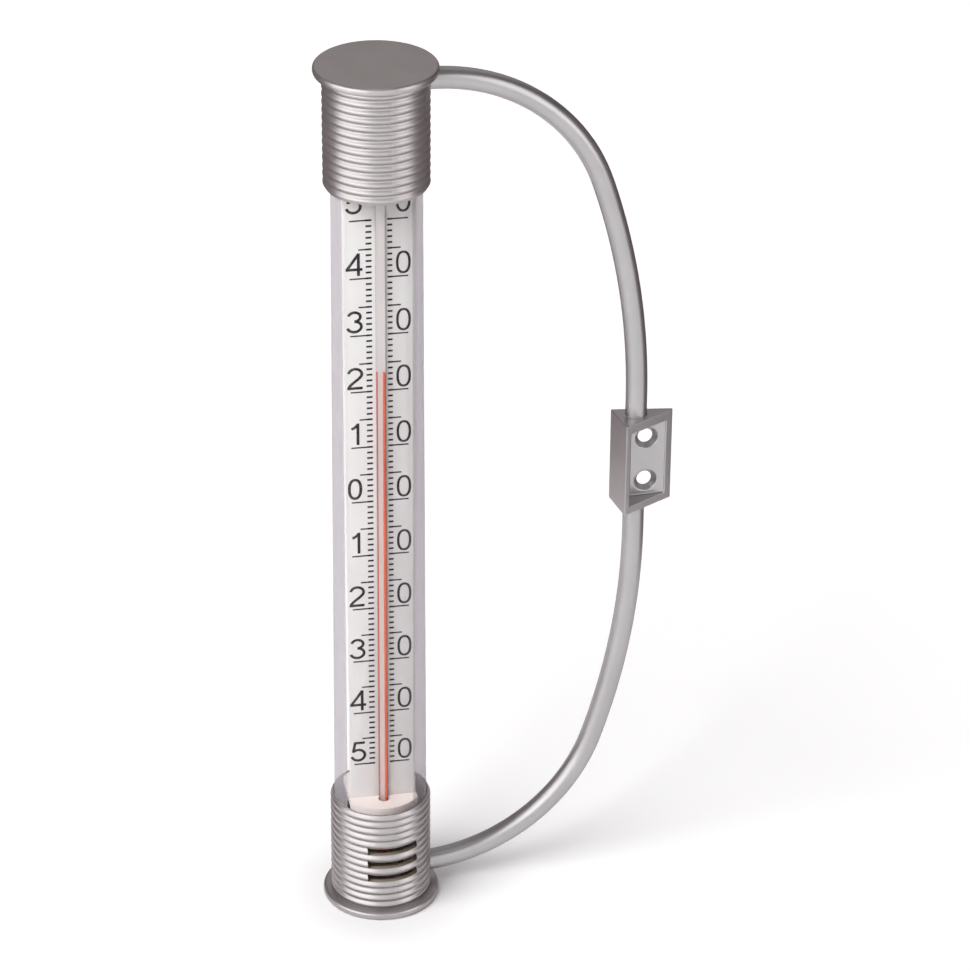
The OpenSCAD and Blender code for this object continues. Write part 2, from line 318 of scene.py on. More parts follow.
def clear_wall(name, facing_tint, edge_tint, turn_at, gloss, haze=0.0):
    """Clear plastic whose tint changes where it turns away from view by more than turn_at.

    gloss is the share of its mirror that is kept, and haze the share of pale matt light at its edges.
    """
    finish = Finish(name)
    facing = finish.node("ShaderNodeLayerWeight", Blend=0.5).outputs["Facing"]
    glance = finish.span(facing, 0, 1, turn_at, turn_at + TURN_WIDTH)
    lit_through = finish.node("ShaderNodeLightPath").outputs["Is Shadow Ray"]
    amount = finish.maths("MULTIPLY", glance, finish.maths("SUBTRACT", 1, lit_through))
    tint = finish.node("ShaderNodeMix", {"data_type": "RGBA"}, Factor=amount)
    finish.plug(tint.inputs[6], (*facing_tint, 1))
    finish.plug(tint.inputs[7], (*edge_tint, 1))
    through = finish.node("ShaderNodeBsdfTransparent", Color=tint.outputs[2])
    smear = finish.noise(7, 2, (1, 1, 0.15))
    bumpy = finish.relief(smear, 0.12, 0.02)
    rough = finish.span(smear, 0.04, 0.09)
    shine = finish.node("ShaderNodeBsdfGlossy", Color=(1, 1, 1, 1), Roughness=rough, Normal=bumpy)
    mirror = finish.node("ShaderNodeFresnel", IOR=CLEAR_INDEX, Normal=bumpy).outputs[0]
    wall = finish.over(finish.maths("MULTIPLY", mirror, gloss), through, shine)
    pale = finish.node("ShaderNodeBsdfDiffuse", Color=HAZE_COLOUR)
    clouded = finish.over(finish.maths("MULTIPLY", amount, haze), wall, pale)
    finish.tree.nodes.remove(finish.shader)
    return finish.surface(clouded)


TUBE_CLEAR = clear_wall("tube_clear", (0.996, 0.994, 0.996), (0.80, 0.78, 0.80), 0.40, 0.06, 0.32)
TUBE_INNER = clear_wall("tube_inner", (0.997, 0.995, 0.997), (0.985, 0.98, 0.985), 0.6, 0.03)
STEM_GLASS = clear_wall("stem_glass", (0.997, 0.996, 0.996), (0.93, 0.92, 0.92), 0.45, 0.12)
print("Clear finishes:", TUBE_CLEAR.name, TUBE_INNER.name, STEM_GLASS.name)

# %% [markdown]
# ## White plastic, ink and spirit
# The plate is a smooth white sheet, hardly uneven, with a faint warm cloud. The same recipe in
# other colours makes the pinker disc and the white strip in the stem. It also gives painted shade
# and light: the brownish inside of the caps is painted shade of their hollow, and the pale foot of
# the tube is painted light carried along its clear wall. The ink is a dark matt film, and the spirit
# is orange red; its darker copy in the bulb is painted shade of the cap's hollow.
# Each could be one flat colour, but a slow noise in it keeps a large face from looking drawn.

# %% White plastic, ink and spirit
def white_plastic(name, low, high):
    """Smooth matt plastic, clouded between two colours."""
    finish = Finish(name)
    return finish.use(
        Base_Color=finish.blend(finish.noise(14, 3), low, high),
        Roughness=finish.span(finish.noise(3, 2), 0.42, 0.52),
        Normal=finish.relief(finish.noise(0.7, 2), 0.12, 0.008),
        Specular_IOR_Level=0.4,
    )


def scale_ink(name, low, high):
    """A matt printed film."""
    finish = Finish(name)
    return finish.use(
        Base_Color=finish.blend(finish.noise(0.6, 4), low, high),
        Roughness=finish.span(finish.noise(1.2, 2), 0.5, 0.65),
        Normal=finish.relief(finish.noise(0.3, 2), 0.1, 0.004),
        Specular_IOR_Level=0.3,
    )


def red_spirit(name, low, high):
    """Coloured spirit, glossy because it is seen through glass."""
    finish = Finish(name)
    return finish.use(
        Base_Color=finish.blend(finish.noise(5, 2, (1, 1, 0.1)), low, high),
        Roughness=finish.span(finish.noise(2, 2), 0.16, 0.26),
        Normal=finish.relief(finish.noise(1, 1), 0.05, 0.004),
        Coat_Weight=0.3,
        Coat_Roughness=0.05,
    )


PLATE_WHITE = white_plastic("plate_white", (0.80, 0.785, 0.775), (0.85, 0.84, 0.825))
HOLDER_WHITE = white_plastic("holder_white", (0.88, 0.80, 0.765), (0.92, 0.84, 0.805))
ENAMEL = white_plastic("enamel", (0.79, 0.755, 0.735), (0.83, 0.795, 0.775))
# painted shade: a dark brown that stands for the shade in the caps' hollow, seen through the slots
CAP_HOLLOW_SHADE = white_plastic("cap_hollow_shade", (0.33, 0.275, 0.225), (0.39, 0.33, 0.27))
# painted light: a pale colour on the tube's foot for light carried along the clear wall
TUBE_FOOT_LIGHT = white_plastic("tube_seat", (0.80, 0.77, 0.80), (0.85, 0.82, 0.85))
SCALE_INK = scale_ink("scale_ink", (0.016, 0.010, 0.012), (0.032, 0.024, 0.027))
SPIRIT_RED = red_spirit("spirit_red", (0.64, 0.085, 0.03), (0.74, 0.13, 0.05))
SPIRIT_THIN = red_spirit("spirit_thin", (0.56, 0.13, 0.085), (0.66, 0.18, 0.12))
# a darker copy of the spirit: partly for the depth of spirit in the bulb, mostly painted shade of the cap's
# hollow
SPIRIT_SHADED = red_spirit("spirit_shaded", (0.15, 0.02, 0.01), (0.19, 0.028, 0.014))
print("Finishes so far:", len(bpy.data.materials))

# %% [markdown]
# ## Ribbed caps
# Both caps are one moulding: a flat flange, then ribs one over the other up to the mouth.
# An array of rings would do, but one turned profile keeps the ribs and the grooves in one skin.
# Its ribs are a cosine wave, which a power makes a little fuller at the crests.
# The mould's two halves leave a fine raised line down the front and the back, so the profile
# swells there by a few hundredths of a millimetre, and the angles crowd together to show it.

# %% Turn a cap's profile
OVERALL_H = 235.0
FLANGE_R, FLANGE_T, FLANGE_ROUND = 15.1, 2.2, 0.9
CAP_R, CAP_H, RIB_DEPTH, RIB_COUNT = 13.0, 31.0, 0.5, 14
RIB_PITCH = (CAP_H - FLANGE_T) / RIB_COUNT
GROOVE_R = CAP_R - RIB_DEPTH
HOLLOW_R = 11.0
SEAT_DEPTH = 8.55
RIB_STEPS, RIB_FULLNESS = 14, 0.8
ROUND_STEPS, MOUTH_BEVEL = 6, 0.12
SEAM_HEIGHT, SEAM_WIDTH = 0.03, 1.0  # millimetres, and degrees
SEAMS = (272.6, 90)  # where the mould's lines run, in degrees
CAP_ANGLES, SEAM_ANGLES, SEAM_CLEAR = 168, (0.4, 0.8, 1.4, 2.2), 2.6


def cap_angles():
    """Even angles, with more of them about the mould's two lines."""
    found = [a for a in even_angles(CAP_ANGLES) if all(abs(a - seam) > SEAM_CLEAR for seam in SEAMS)]
    for seam in SEAMS:
        found += [seam] + [seam + sign * off for off in SEAM_ANGLES for sign in (-1, 1)]
    return sorted(found)


def seam_swell(angle, radius, height):
    """A fine rise along the mould's lines, all the way up and on the outside only."""
    if radius < GROOVE_R - SLACK:
        return 0
    off = min(abs(angle - seam) for seam in SEAMS)
    return SEAM_HEIGHT * math.exp(-((off / SEAM_WIDTH) ** 2))


def cap_profile(seat_r):
    """Profile of a cap with its flange at height 0 and its mouth upwards."""
    edge, rounding = FLANGE_R - FLANGE_ROUND, (FLANGE_ROUND, FLANGE_ROUND)
    profile = [(0, 0), (edge / 2, 0)]
    profile += arc((edge, FLANGE_ROUND), rounding, -90, 0, ROUND_STEPS)
    profile += arc((edge, FLANGE_T - FLANGE_ROUND), rounding, 0, 90, ROUND_STEPS)
    for i in range(RIB_COUNT * RIB_STEPS + 1):
        wave = (1 - math.cos(2 * math.pi * i / RIB_STEPS)) / 2
        profile.append((GROOVE_R + RIB_DEPTH * wave**RIB_FULLNESS, FLANGE_T + RIB_PITCH * i / RIB_STEPS))
    profile += [(seat_r + MOUTH_BEVEL, CAP_H), (seat_r, CAP_H - MOUTH_BEVEL)]
    step = CAP_H - SEAT_DEPTH
    return profile + [(seat_r, step), (HOLLOW_R, step), (HOLLOW_R, FLANGE_T), (0, FLANGE_T)]


# %% [markdown]
# ## Cutting the air slots and the sockets
# Three ribs of the lower cap are cut away at the front so that air reaches the bulb, and each cap
# has a round hole for the bow's end. Boolean modifiers cut them as a tool would. Afterwards a
# small bevel breaks the cut edges, because painted plastic never ends in a perfect corner.

# %% Cut a cap
SLOT_HALF_W, SLOT_BEVEL = 6.6, 0.16
SLOT_TURN = math.radians(2.1)
SLOT_RIBS = (4, 6, 8)  # counted from 0 at the flange
ROD_R, SOCKET_GAP = 2.73, 0.04
SOCKET_R = ROD_R + SOCKET_GAP
SOCKET_START = 6.45
LOW_ARM_Z, HIGH_ARM_Z = 7.05, 230.05
CUT_NEAR, CUT_FAR = 2, 20  # how near the axis a slot's cutter starts, and how far out all cutters go
INSIDE_DEPTH, MOUTH_RIM = 0.2, 0.3  # how far inside the grooves and the mouth the painted shade starts
SLOT_SIDE, SLOT_FRONT = 0.7, -8  # how far beside a slot its edges may lie, and how far in front


def box_points(low, high):
    """Points and faces of a box between two corners."""
    points = [(x, y, z) for x in (low[0], high[0]) for y in (low[1], high[1]) for z in (low[2], high[2])]
    faces = [(0, 1, 3, 2), (4, 6, 7, 5), (0, 4, 5, 1), (2, 3, 7, 6), (0, 2, 6, 4), (1, 5, 7, 3)]
    return points, faces


def along_x(points, height):
    """Lays what was turned about Z down along X, at a height."""
    return [(z, y, height - x) for x, y, z in points]


def bake_modifiers(piece):
    """Replaces a piece's mesh by what its modifiers make of it."""
    depsgraph = bpy.context.evaluated_depsgraph_get()
    made = bpy.data.meshes.new_from_object(piece.evaluated_get(depsgraph))
    piece.modifiers.clear()
    piece.data = made


def cut(piece, tools):
    """Cuts closed tool meshes, each a (points, faces) pair, out of a piece."""
    cutters = [make_piece("cutter", points, faces, piece.data.materials[0]) for points, faces in tools]
    for cutter in cutters:
        knife = piece.modifiers.new("cut", "BOOLEAN")
        knife.operation = "DIFFERENCE"
        knife.solver = "EXACT"
        knife.object = cutter
    bake_modifiers(piece)
    for cutter in cutters:
        bpy.data.objects.remove(cutter)


def soften_cuts(piece, inside, width_mm):
    """Bevels the sharp edges whose middle is inside the given test."""
    mesh = piece.data
    crease = mesh.attributes.new("bevel_weight_edge", "FLOAT", "EDGE")
    sharp = {}
    for polygon in mesh.polygons:
        for key in polygon.edge_keys:
            sharp.setdefault(key, []).append(polygon.normal)
    for edge in mesh.edges:
        normals = sharp.get(tuple(sorted(edge.vertices)), [])
        a, b = (mesh.vertices[v].co / MM for v in edge.vertices)
        if len(normals) == 2 and normals[0].dot(normals[1]) < 0.7 and inside((a + b) / 2):
            crease.data[edge.index].value = 1
    bevel = piece.modifiers.new("soften", "BEVEL")
    bevel.limit_method = "WEIGHT"
    bevel.width = width_mm * MM
    bevel.segments = 2
    bake_modifiers(piece)


def slot_heights():
    """Where each slot starts and ends. A slot takes a whole rib."""
    return [(FLANGE_T + RIB_PITCH * k, FLANGE_T + RIB_PITCH * (k + 1)) for k in SLOT_RIBS]


def slot_tool(low, high):
    """A box for one slot. The cap stands turned in the bow by about two degrees."""
    points, faces = box_points((-SLOT_HALF_W, -CUT_FAR, low), (SLOT_HALF_W, -CUT_NEAR, high))
    c, s = math.cos(SLOT_TURN), math.sin(SLOT_TURN)
    return [(x * c - y * s, x * s + y * c, z) for x, y, z in points], faces


def socket_tool(height):
    """A round plug that cuts the hole for the bow's end."""
    profile = [(0, SOCKET_START), (SOCKET_R, SOCKET_START), (SOCKET_R, CUT_FAR), (0, CUT_FAR)]
    points, faces = turn(profile, even_angles(64))
    return along_x(points, height), faces


def paint_inside(cap):
    """Paints shade on the hollow as a dark brownish colour, up to just inside the mouth."""
    cap.data.materials.append(CAP_HOLLOW_SHADE)
    for face in cap.data.polygons:
        x, y, z = face.center / MM
        height = min(z, OVERALL_H - z)
        if math.hypot(x, y) < GROOVE_R - INSIDE_DEPTH and FLANGE_T - SLACK < height < CAP_H - MOUTH_RIM:
            face.material_index = 1


def is_slot_edge(middle):
    """True on the outer rim of an air slot."""
    near = abs(middle.x) < SLOT_HALF_W + SLOT_SIDE and middle.y < SLOT_FRONT
    outside = math.hypot(middle.x, middle.y) > GROOVE_R - SLACK
    return near and outside and any(low - SLACK < middle.z < high + SLACK for low, high in slot_heights())


def build_cap(name, seat_r, arm_z, upside_down, slots):
    """A cap for a tube of radius seat_r, with its socket at the height arm_z."""
    points, faces = turn(cap_profile(seat_r), cap_angles(), seam_swell)
    if upside_down:
        points = [(x, y, OVERALL_H - z) for x, y, z in points]
        faces = [f[::-1] for f in faces]
    cap = make_piece(name, points, faces, CAP_PAINT)
    tools = [socket_tool(arm_z)]
    if slots:
        tools += [slot_tool(low, high) for low, high in slot_heights()]
    cut(cap, tools)
    paint_inside(cap)
    cap.data.shade_smooth()
    cap.data.set_sharp_from_angle(angle=math.radians(50))
    if slots:
        soften_cuts(cap, is_slot_edge, SLOT_BEVEL)
    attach(cap, "frame")
    print(name, len(cap.data.polygons), "faces")
    return cap


lower_cap = build_cap("lower_cap", 12.03, LOW_ARM_Z, False, True)
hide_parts("bottom_cap")
upper_cap = build_cap("upper_cap", 11.29, HIGH_ARM_Z, True, False)
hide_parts("top_cap")

# %% [markdown]
# ## Sockets for the bow's ends
# Inside each cap a short boss holds the end of the bow. It is hardly seen, only a glimpse through
# the slots, but the bow has to end in something. A turned cup laid on its side is enough.

# %% Make the two sockets
SOCKET_WALL, SOCKET_END = 1.1, 11.6


def build_socket(name, height):
    """A boss with a blind hole, which opens outwards along X."""
    outer, start = SOCKET_R + SOCKET_WALL, SOCKET_START - SOCKET_WALL
    profile = [(0, SOCKET_START), (SOCKET_R, SOCKET_START), (SOCKET_R, SOCKET_END), (outer, SOCKET_END)]
    points, faces = turn(profile + [(outer, start), (0, start)], even_angles(56))
    boss = make_piece(name, along_x(points, height), faces, CAP_PAINT)
    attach(boss, "frame")
    print(name, "at a height of", height, "mm")


build_socket("lower_socket", LOW_ARM_Z)
build_socket("upper_socket", HIGH_ARM_Z)

# %% [markdown]
# ## The bow
# The bow is one round rod: a short arm out of each cap, a tight bend, a long slack curve, and a
# straight stretch at the bracket. A curve object with a bevel would give it in a few lines, but
# arcs of exact radius are wanted, so the centre line is walked and a ring set at each point.

# %% Walk the bow's centre line
ARM_START, ARM_MIDDLE, BEND_START = 6.6, 9.0, 11.9
BEND_R, BEND_ANGLE = 47.4, 71.2
STRAIGHT_HALF = 19.0
BEND_STEPS, SIDE_STEPS, ROD_SIDES = 40, 30, 48
BOW_HALF = (HIGH_ARM_Z - LOW_ARM_Z) / 2
BOW_MIDDLE = (HIGH_ARM_Z + LOW_ARM_Z) / 2
COS_BEND, SIN_BEND = math.cos(math.radians(BEND_ANGLE)), math.sin(math.radians(BEND_ANGLE))
SIDE_R = (BOW_HALF - BEND_R * (1 - COS_BEND) - STRAIGHT_HALF) / COS_BEND
BOW_REACH = BEND_START + BEND_R * SIN_BEND + SIDE_R * (1 - SIN_BEND)


def half_bow_line(stop):
    """(x, height over the middle, direction in degrees) from the cap to a height of stop."""
    line = [(x, BOW_HALF, 0.0) for x in (ARM_START, ARM_MIDDLE, BEND_START)]
    for i in range(1, BEND_STEPS + 1):
        a = 90 - BEND_ANGLE * i / BEND_STEPS
        x = BEND_START + BEND_R * math.cos(math.radians(a))
        z = BOW_HALF - BEND_R + BEND_R * math.sin(math.radians(a))
        line.append((x, z, a - 90))
    for i in range(1, SIDE_STEPS + 1):
        a = (90 - BEND_ANGLE) * (1 - i / SIDE_STEPS)
        x = BOW_REACH - SIDE_R + SIDE_R * math.cos(math.radians(a))
        line.append((x, STRAIGHT_HALF + SIDE_R * math.sin(math.radians(a)), a - 90))
    return line + [(BOW_REACH, stop, -90.0)]


def draw_rod(line):
    """Points and faces of the closed round rod along a line in the plane of X and Z."""
    points = []
    for x, z, direction in line:
        d = math.radians(direction + 90)
        for i in range(ROD_SIDES):
            a = 2 * math.pi * i / ROD_SIDES
            out, side = ROD_R * math.cos(a), ROD_R * math.sin(a)
            points.append((x + out * math.cos(d), side, z + out * math.sin(d)))
    return points, skin(ROD_SIDES, len(line))


# %% [markdown]
# ## Both halves of the bow
# The rod and its bracket are taken as one moulding. One rod from cap to cap would run through the
# bracket's open pocket. So each half stops inside a rim of the pocket, out of sight.

# %% Build both halves of the bow
BRACKET_Z0, BRACKET_H = 107.25, 25.4
POCKET_Z0, POCKET_H, POCKET_END = 109.45, 20.6, 7.8
ROD_STOPS = (POCKET_Z0 - 1.0, POCKET_Z0 + POCKET_H + 1.2)


def build_half_bow(name, sign, stop):
    """The lower half of the bow for a sign of -1, the upper one for 1, as far as a height of stop."""
    line = half_bow_line(abs(stop - BOW_MIDDLE))
    points, faces = draw_rod(line)
    points = [(x, y, BOW_MIDDLE + sign * z) for x, y, z in points]
    if sign < 0:
        faces = [f[::-1] for f in faces]
    rod = make_piece(name, points, faces, BOW_PAINT, ROD_ANGLE)
    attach(rod, "frame")


build_half_bow("bow_low", -1, ROD_STOPS[0])
build_half_bow("bow_high", 1, ROD_STOPS[1])
print("Bow reach:", round(BOW_REACH, 2), "mm")

# %% [markdown]
# ## The bracket
# The bracket is a wedge: its back lies on the wall, a ridge stands in front, and the floor of an
# open pocket has two holes for sunk screws. Its outline is only four corners, so plain points
# draw it, and boxes and turned tools cut it.

# %% Draw the wedge and its cutting tools
WALL_ANGLE = math.radians(12.2)
WALL_OFFSET = 2.9
BRACKET_INNER, BRACKET_OUTER = -5.4, 9.8
SCREW_OUT, SCREW_R, SINK_R, SCREW_SPACING = 2.9, 1.9, 3.05, 12.2
SINK_DEPTH, SCREW_LAND, RELIEF_R, SCREW_MIDDLE_Z = 1.4, 0.3, 2.8, 119.55
POCKET_SIDE, POCKET_FLOOR = -2.85, -0.35
RIDGE = (BRACKET_INNER + 1.05, -6.5)
TIP_T = 0.6
TOOL_REACH = 12  # far enough for a tool to leave the wedge at either side


def wall_y(x):
    """How far back the wall lies, at a place along X from the rod's middle."""
    return WALL_OFFSET / math.cos(WALL_ANGLE) - x * math.tan(WALL_ANGLE)


def wedge_mesh():
    """Points and faces of the plain wedge."""
    outline = [
        (BRACKET_INNER, wall_y(BRACKET_INNER)),
        RIDGE,
        (BRACKET_OUTER, wall_y(BRACKET_OUTER) - TIP_T),
        (BRACKET_OUTER, wall_y(BRACKET_OUTER)),
    ]
    points = [(x, y, z) for z in (BRACKET_Z0, BRACKET_Z0 + BRACKET_H) for x, y in outline]
    return points, skin(len(outline), 2)


def screw_tool(height):
    """A sunk head's cone, a short straight land, and the wider relief behind it."""
    front = POCKET_FLOOR - SLACK
    land, relief = front + SINK_DEPTH, front + SINK_DEPTH + SCREW_LAND
    profile = [(0, front), (SINK_R, front), (SCREW_R, land), (SCREW_R, relief), (RELIEF_R, relief)]
    profile += [(RELIEF_R, TOOL_REACH), (0, TOOL_REACH)]
    points, faces = turn(profile, even_angles(72))
    return [(SCREW_OUT + x, z, height + y) for x, y, z in points], [f[::-1] for f in faces]


# %% [markdown]
# ## One skin for the bracket
# Moulded parts have a small radius on every edge and a fillet where the rod grows out of them.
# Bevels would have to meet at many odd corners. A voxel remesh melts the wedge and two stubs of
# the rod into one skin instead, and a little smoothing rounds every edge alike.
# The remesh is done with one unit to the millimetre, and the skin is scaled down afterwards.

# %% Melt the bracket and its stubs into one skin
STUB_R, STUB_OUT = ROD_R - 0.1, 1.6  # a little slimmer than the rod, and how far they stand out
STUBS = (
    (BRACKET_Z0 - STUB_OUT, POCKET_Z0 - 0.5),
    (POCKET_Z0 + POCKET_H + 0.6, BRACKET_Z0 + BRACKET_H + STUB_OUT),
)
VOXEL, EASE_SHARE, EASE_ROUNDS = 0.15, 0.5, 5


def scaled_mesh(name, points, faces):
    """A mesh with one unit to the millimetre, for the remesh."""
    return make_piece(name, [[c / MM for c in p] for p in points], faces, BOW_PAINT)


def combine(piece, operation, points, faces):
    """Cuts a closed mesh out of a piece, or welds it on."""
    tool = scaled_mesh("tool", points, faces)
    joint = piece.modifiers.new("combine", "BOOLEAN")
    joint.operation = operation
    joint.solver = "EXACT"
    joint.object = tool
    bake_modifiers(piece)
    bpy.data.objects.remove(tool)


def build_bracket():
    """The wedge with its pocket, its holes and the feet of the rod, in one rounded skin."""
    bracket = scaled_mesh("bracket", *wedge_mesh())
    corners = (POCKET_SIDE, -TOOL_REACH, POCKET_Z0), (POCKET_END, POCKET_FLOOR, POCKET_Z0 + POCKET_H)
    combine(bracket, "DIFFERENCE", *box_points(*corners))
    for side in (-1, 1):
        combine(bracket, "DIFFERENCE", *screw_tool(SCREW_MIDDLE_Z + side * SCREW_SPACING / 2))
    for low, high in STUBS:
        stub = turn([(0, low), (STUB_R, low), (STUB_R, high), (0, high)], even_angles(64))
        combine(bracket, "UNION", *stub)
    melt = bracket.modifiers.new("melt", "REMESH")
    melt.mode, melt.voxel_size = "VOXEL", VOXEL
    ease = bracket.modifiers.new("ease", "SMOOTH")
    ease.factor, ease.iterations = EASE_SHARE, EASE_ROUNDS
    bake_modifiers(bracket)
    bracket.data.transform(Matrix.Translation((BOW_REACH * MM, 0, 0)) @ Matrix.Scale(MM, 4))
    bracket.data.shade_smooth()
    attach(bracket, "frame")
    print("bracket", len(bracket.data.polygons), "faces")
    return bracket


bracket = build_bracket()
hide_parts("bow_bracket")

# %% [markdown]
# ## The clear tube
# The tube is drawn with a slight taper, as the photograph shows it. A cylinder with a Solidify
# modifier would do, but a turned closed skin keeps outside and inside apart, and each takes its
# own finish. The outside darkens and hazes at its edges, and the inside hardly changes.
# The foot, which stands in the lower cap, is coloured pale as painted light, for light that the clear wall
# carries.

# %% Turn the tube
TUBE_Z0, TUBE_Z1 = 22.6, 212.4
TUBE_R_LOW, TUBE_R_HIGH, TUBE_WALL = 11.97, 11.13, 1.2
TUBE_RINGS = [60, 100, 140, 180]  # heights between its ends
SEAT_TOP = CAP_H  # below the lower cap's mouth the outside takes the pale painted light


def tube_radius(z):
    """The tube's outer radius at a height."""
    return TUBE_R_LOW + (TUBE_R_HIGH - TUBE_R_LOW) * (z - TUBE_Z0) / (TUBE_Z1 - TUBE_Z0)


def tube_profile():
    """The closed outline of the tube's wall, with its rims bevelled."""
    rim = 0.2
    low, high = TUBE_Z0 + rim, TUBE_Z1 - rim
    outside = [(tube_radius(z), z) for z in [low, SEAT_TOP] + TUBE_RINGS + [high]]
    inside = [(tube_radius(z) - TUBE_WALL, z) for z in [high] + TUBE_RINGS[::-1] + [low]]
    top = [(tube_radius(TUBE_Z1) - rim, TUBE_Z1), (tube_radius(TUBE_Z1) - TUBE_WALL + rim, TUBE_Z1)]
    foot = [(tube_radius(TUBE_Z0) - TUBE_WALL + rim, TUBE_Z0), (tube_radius(TUBE_Z0) - rim, TUBE_Z0)]
    return outside + top + inside + foot + outside[:1]


tube_points, tube_faces = turn(tube_profile(), even_angles(128))
clear_tube = make_piece("tube_wall", tube_points, tube_faces, TUBE_CLEAR)
clear_tube.data.materials.append(TUBE_INNER)
clear_tube.data.materials.append(TUBE_FOOT_LIGHT)
for face in clear_tube.data.polygons:
    x, y, z = face.center / MM
    if math.hypot(x, y) < tube_radius(z) - TUBE_WALL / 2:
        face.material_index = 1
    # the foot's outer faces take the pale painted light
    elif z < SEAT_TOP:
        face.material_index = 2
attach(clear_tube, "tube")
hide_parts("clear_tube")
print("Tube:", len(clear_tube.data.polygons), "faces")

# %% [markdown]
# ## The scale plate
# The plate is a flat white sheet with rounded corners, a little wider at the top. A scaled cube
# would have neither the corners nor the taper, so its outline is drawn and given four layers.
# It stands turned in the tube by a few degrees, so its front has its own coordinates: s across
# and z up.

# %% Put points on the plate and build it
PLATE_TURN = math.radians(-4.9)
PLATE_FRONT, PLATE_T = 4.2, 1.2
PLATE_Z0, PLATE_Z1 = 31.2, 207.2
PLATE_HALF_LOW, PLATE_HALF_HIGH = 8.5, 8.9
PLATE_CORNER, PLATE_BEVEL = 1.0, 0.12


def in_tube(x, y, z):
    """Turns a point about the tube's axis to where the scale stands."""
    c, s = math.cos(PLATE_TURN), math.sin(PLATE_TURN)
    return (x * c - y * s, x * s + y * c, z)


def on_plate(s, z, lift=0.0):
    """A point of the plate's front, or in front of it by lift."""
    return in_tube(s, -(PLATE_FRONT + lift), z)


def plate_outline():
    """The plate's edge as (s, z) points, with rounded corners."""
    corner, outline = PLATE_CORNER, []
    corners = [(PLATE_HALF_LOW, PLATE_Z0, 1, 1, -90), (PLATE_HALF_HIGH, PLATE_Z1, 1, -1, 0)]
    corners += [(PLATE_HALF_HIGH, PLATE_Z1, -1, -1, 90), (PLATE_HALF_LOW, PLATE_Z0, -1, 1, 180)]
    for half, z, side, rise, start in corners:
        centre = (side * (half - corner), z + rise * corner)
        outline += arc(centre, (corner, corner), start, start + 90, ROUND_STEPS)
    return outline


def build_plate():
    """Four layers of the outline, the first and the last drawn in by the bevel."""
    outline, points = plate_outline(), []
    middle_z = (PLATE_Z0 + PLATE_Z1) / 2
    layers = ((0, PLATE_BEVEL), (-PLATE_BEVEL, 0), (-(PLATE_T - PLATE_BEVEL), 0), (-PLATE_T, PLATE_BEVEL))
    for lift, inset in layers:
        for s, z in outline:
            points.append(on_plate(s - math.copysign(inset, s), z - math.copysign(inset, z - middle_z), lift))
    faces = [f[::-1] for f in skin(len(outline), len(layers))]
    plate = make_piece("plate", points, faces, PLATE_WHITE)
    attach(plate, "tube")
    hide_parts("scale_plate")
    print("Plate:", len(faces), "faces")


build_plate()

# %% [markdown]
# ## Printed marks
# A print could be a texture, but then the marks blur when the camera comes near. Each mark here
# is a film of ink with a real edge. Every degree has a short thick dash on both sides of the
# glass. At the fives and tens a thinner line runs on outwards.

# %% Lay down strips of ink
INK_LIFT, INK_T = 0.004, 0.022
ZERO_Z, DEGREE_Z = 119.3, 1.543
MARK_ENDS = {-1: (1.99, 3.44, 5.25, 7.4), 1: (1.85, 3.05, 5.1, 6.92)}  # inner end, then three lengths
DASH_STROKE, LINE_STROKE = 0.5, 0.38
ink_points, ink_faces = [], []


def ink_strip(left_edge, right_edge):
    """A film of ink between two rows of (s, z) points."""
    start, count = len(ink_points), len(left_edge)
    for lift in (INK_LIFT, INK_LIFT + INK_T):
        for row in (left_edge, right_edge):
            ink_points.extend(on_plate(s, z, lift) for s, z in row)
    low_l, low_r, top_l, top_r = (start + k * count for k in range(4))
    for i in range(count - 1):
        ink_faces.append([top_l + i, top_l + i + 1, top_r + i + 1, top_r + i])
        ink_faces.append([low_l + i, low_r + i, low_r + i + 1, low_l + i + 1])
        ink_faces.append([low_l + i, low_l + i + 1, top_l + i + 1, top_l + i])
        ink_faces.append([low_r + i + 1, low_r + i, top_r + i, top_r + i + 1])
    ink_faces.append([low_l, top_l, top_r, low_r])
    last = count - 1
    ink_faces.append([low_r + last, top_r + last, top_l + last, low_l + last])


def ink_bar(s0, s1, z, stroke):
    """A level mark from s0 to s1."""
    ink_strip([(s0, z + stroke / 2), (s1, z + stroke / 2)], [(s0, z - stroke / 2), (s1, z - stroke / 2)])


for degree in range(-50, 51):
    z = ZERO_Z + degree * DEGREE_Z
    for side, (inner, short, medium, long) in MARK_ENDS.items():
        ink_bar(side * inner, side * short, z, DASH_STROKE)
        if degree % 5 == 0:
            ink_bar(side * short, side * (long if degree % 10 == 0 else medium), z, LINE_STROKE)
print("Marks:", len(ink_faces), "faces of ink")

# %% [markdown]
# ## Printed numerals
# The numerals are plain upright figures with an even stroke. A text object would need a font that
# matches. Here each figure is one or more pen strokes: a centre line that is given a width.

# %% Draw figures with a pen
LEFT_H, RIGHT_H, LEFT_PEN, RIGHT_PEN = 6.0, 6.3, 0.72, 0.63


def curve(p0, p1, p2, p3, steps=14):
    """Points of a cubic curve."""
    found = []
    for i in range(steps + 1):
        t = i / steps
        weights = ((1 - t) ** 3, 3 * t * (1 - t) ** 2, 3 * t * t * (1 - t), t**3)
        found.append(tuple(sum(w * p[k] for w, p in zip(weights, (p0, p1, p2, p3))) for k in (0, 1)))
    return found


def oval(centre, radii, power=2.35, steps=44):
    """A closed oval, squarer than an ellipse."""
    found = []
    for i in range(steps + 1):
        a = 2 * math.pi * i / steps
        c, s = math.cos(a), math.sin(a)
        x = math.copysign(abs(c) ** (2 / power), c) * radii[0]
        y = math.copysign(abs(s) ** (2 / power), s) * radii[1]
        found.append((centre[0] + x, centre[1] + y))
    return found


